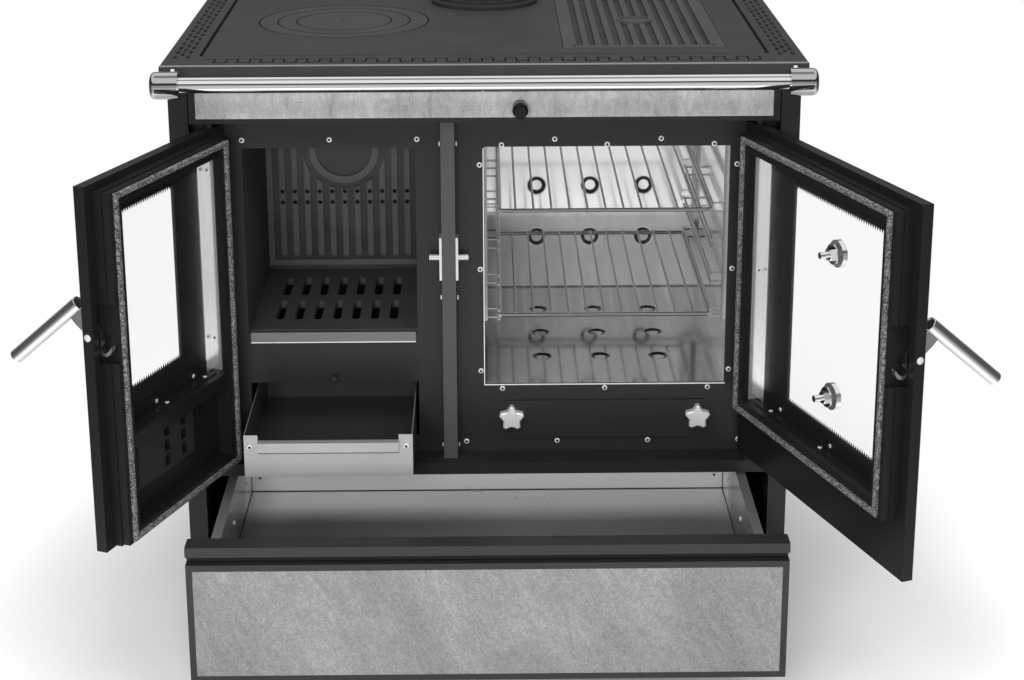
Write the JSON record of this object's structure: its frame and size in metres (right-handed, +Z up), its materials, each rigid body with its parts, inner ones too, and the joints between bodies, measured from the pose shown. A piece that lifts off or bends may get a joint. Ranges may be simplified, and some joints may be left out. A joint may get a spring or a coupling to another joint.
{
  "type": "wood cook stove",
  "caption": "Floor-standing wood cook stove with glazed firebox and oven doors, ash pan, wood drawer, ringed cooktop with griddle, flue collar and towel rail.",
  "frame": {"origin": "on the floor, at mid width, in the plane of the body's front face", "axes": "+X to the right as seen from the front, +Y to the back, +Z up"},
  "size_m": [1.2648, 1.008, 0.905],
  "materials": {
    "black_steel": "satin black stove paint",
    "cast_iron": "machined dark grey cast iron",
    "stone": "honed light grey speckled stone",
    "chrome": "polished",
    "stainless": "brushed",
    "zinc": "galvanized",
    "knob": "matte black heat-proof plastic",
    "rope_seal": "dark glass-fibre rope",
    "clear_glass": "clear ceramic glass with a printed border"
  },
  "bodies": {
    "hearth": {"side_panel_left": "black_steel", "side_panel_right": "black_steel", "back_panel": "black_steel", "base_tray": "black_steel", "plinth": "black_steel", "bottom_ledge": "black_steel", "face_plate": "black_steel", "lintel": "black_steel", "stone_strip": "stone", "middle_bar": "black_steel", "latch_strikers": "zinc", "hinge_pins": "black_steel", "towel_rail": "chrome", "rail_brackets": "chrome", "top_frame": "black_steel", "hob_plate": "cast_iron", "flue_collar": "cast_iron", "firebox_casing": "black_steel", "firebox_liners": "cast_iron", "back_casting": "cast_iron", "sill_strip": "stainless", "ash_box": "black_steel", "smoke_chamber": "black_steel", "oven_liner": "stainless", "rack_guides": "chrome", "cleaning_cover": "black_steel", "cabinet_runners": "zinc"},
    "outer_ring": {"ring_outer": "cast_iron"},
    "inner_ring": {"ring_inner": "cast_iron"},
    "ring_lid": {"ring_cap": "cast_iron"},
    "griddle": {"griddle_plate": "cast_iron"},
    "grate": {"fire_grate": "cast_iron"},
    "damper": {"damper_rod": "zinc", "damper_knob": "knob", "damper_flap": "black_steel"},
    "ash_drawer": {"ash_pan": "zinc"},
    "upper_rack": {"oven_rack_upper": "chrome"},
    "lower_rack": {"oven_rack_lower": "chrome"},
    "left_star_knob": {"star_knob_left": "stainless"},
    "right_star_knob": {"star_knob_right": "stainless"},
    "wood_drawer": {"drawer_front": "black_steel", "drawer_stone_panel": "stone", "drawer_box": "zinc"},
    "firebox_door": {"firebox_door_panel": "black_steel", "firebox_door_casing": "black_steel", "firebox_door_glass": "clear_glass", "firebox_door_gasket": "rope_seal", "firebox_glass_clips": "stainless"},
    "firebox_handle": {"firebox_handle_lever": "stainless", "firebox_handle_grip": "chrome"},
    "air_slide": {"air_register": "zinc"},
    "oven_door": {"oven_door_panel": "black_steel", "oven_door_casing": "black_steel", "oven_door_glass": "clear_glass", "oven_door_gasket": "rope_seal", "oven_glass_clips": "stainless", "oven_thermometer": "chrome"},
    "oven_handle": {"oven_handle_lever": "stainless", "oven_handle_grip": "chrome"},
    "vent_valve": {"oven_vent_valve": "chrome"}
  },
  "joints": [
    {"name": "firebox_door_hinge", "type": "hinge", "parent": "hearth", "child": "firebox_door", "pos_m": [-0.382, 0.008, 0.52], "axis": [0, 0, -1], "range_deg": [-112, 8]},
    {"name": "firebox_handle_turn", "type": "hinge", "parent": "firebox_door", "child": "firebox_handle", "pos_m": [-0.49777, -0.27855, 0.571], "axis": [0.3746, 0.9272, 0], "range_deg": [-49.5, 12]},
    {"name": "air_register_slide", "type": "slide", "parent": "firebox_door", "child": "air_slide", "axis": [-0.3746, -0.9272, 0], "range_m": [-0.018, 0]},
    {"name": "oven_door_hinge", "type": "hinge", "parent": "hearth", "child": "oven_door", "pos_m": [0.382, 0.008, 0.52], "axis": [0, 0, 1], "range_deg": [-110, 10]},
    {"name": "oven_handle_turn", "type": "hinge", "parent": "oven_door", "child": "oven_handle", "pos_m": [0.52375, -0.38146, 0.571], "axis": [0.342, -0.9397, 0], "range_deg": [-49.5, 12]},
    {"name": "vent_valve_turn", "type": "hinge", "parent": "oven_door", "child": "vent_valve", "pos_m": [0.45596, -0.19813, 0.445], "axis": [0.9397, 0.342, 0], "range_deg": [0, 90]},
    {"name": "ash_pan_slide", "type": "slide", "parent": "hearth", "child": "ash_drawer", "axis": [0, -1, 0], "range_m": [-0.189, 0.0136]},
    {"name": "wood_drawer_slide", "type": "slide", "parent": "hearth", "child": "wood_drawer", "axis": [0, -1, 0], "range_m": [-0.232, 0.1]},
    {"name": "upper_rack_slide", "type": "slide", "parent": "hearth", "child": "upper_rack", "axis": [0, -1, 0], "range_m": [0, 0.3]},
    {"name": "lower_rack_slide", "type": "slide", "parent": "hearth", "child": "lower_rack", "axis": [0, -1, 0], "range_m": [0, 0.3]},
    {"name": "damper_pull", "type": "slide", "parent": "hearth", "child": "damper", "axis": [0, -1, 0], "range_m": [0, 0.07]},
    {"name": "left_star_knob_turn", "type": "hinge", "parent": "hearth", "child": "left_star_knob", "pos_m": [0.0362, 0.035, 0.3235], "axis": [0, -1, 0], "range_deg": [-180, 180]},
    {"name": "right_star_knob_turn", "type": "hinge", "parent": "hearth", "child": "right_star_knob", "pos_m": [0.3078, 0.035, 0.3235], "axis": [0, -1, 0], "range_deg": [-180, 180]},
    {"name": "outer_ring_lift", "type": "slide", "parent": "hearth", "child": "outer_ring", "axis": [0, 0, 1], "range_m": [0, 0.06]},
    {"name": "inner_ring_lift", "type": "slide", "parent": "outer_ring", "child": "inner_ring", "axis": [0, 0, 1], "range_m": [0, 0.06]},
    {"name": "ring_cap_lift", "type": "slide", "parent": "inner_ring", "child": "ring_lid", "axis": [0, 0, 1], "range_m": [0, 0.06]},
    {"name": "griddle_lift", "type": "slide", "parent": "hearth", "child": "griddle", "axis": [0, 0, 1], "range_m": [0, 0.06]},
    {"name": "grate_lift", "type": "slide", "parent": "hearth", "child": "grate", "axis": [0, 0, 1], "range_m": [0, 0.06]}
  ],
  "couplings": [
    {"joint": "ash_pan_slide", "follows": "firebox_door_hinge", "m_per_rad": 0.0966}
  ]
}
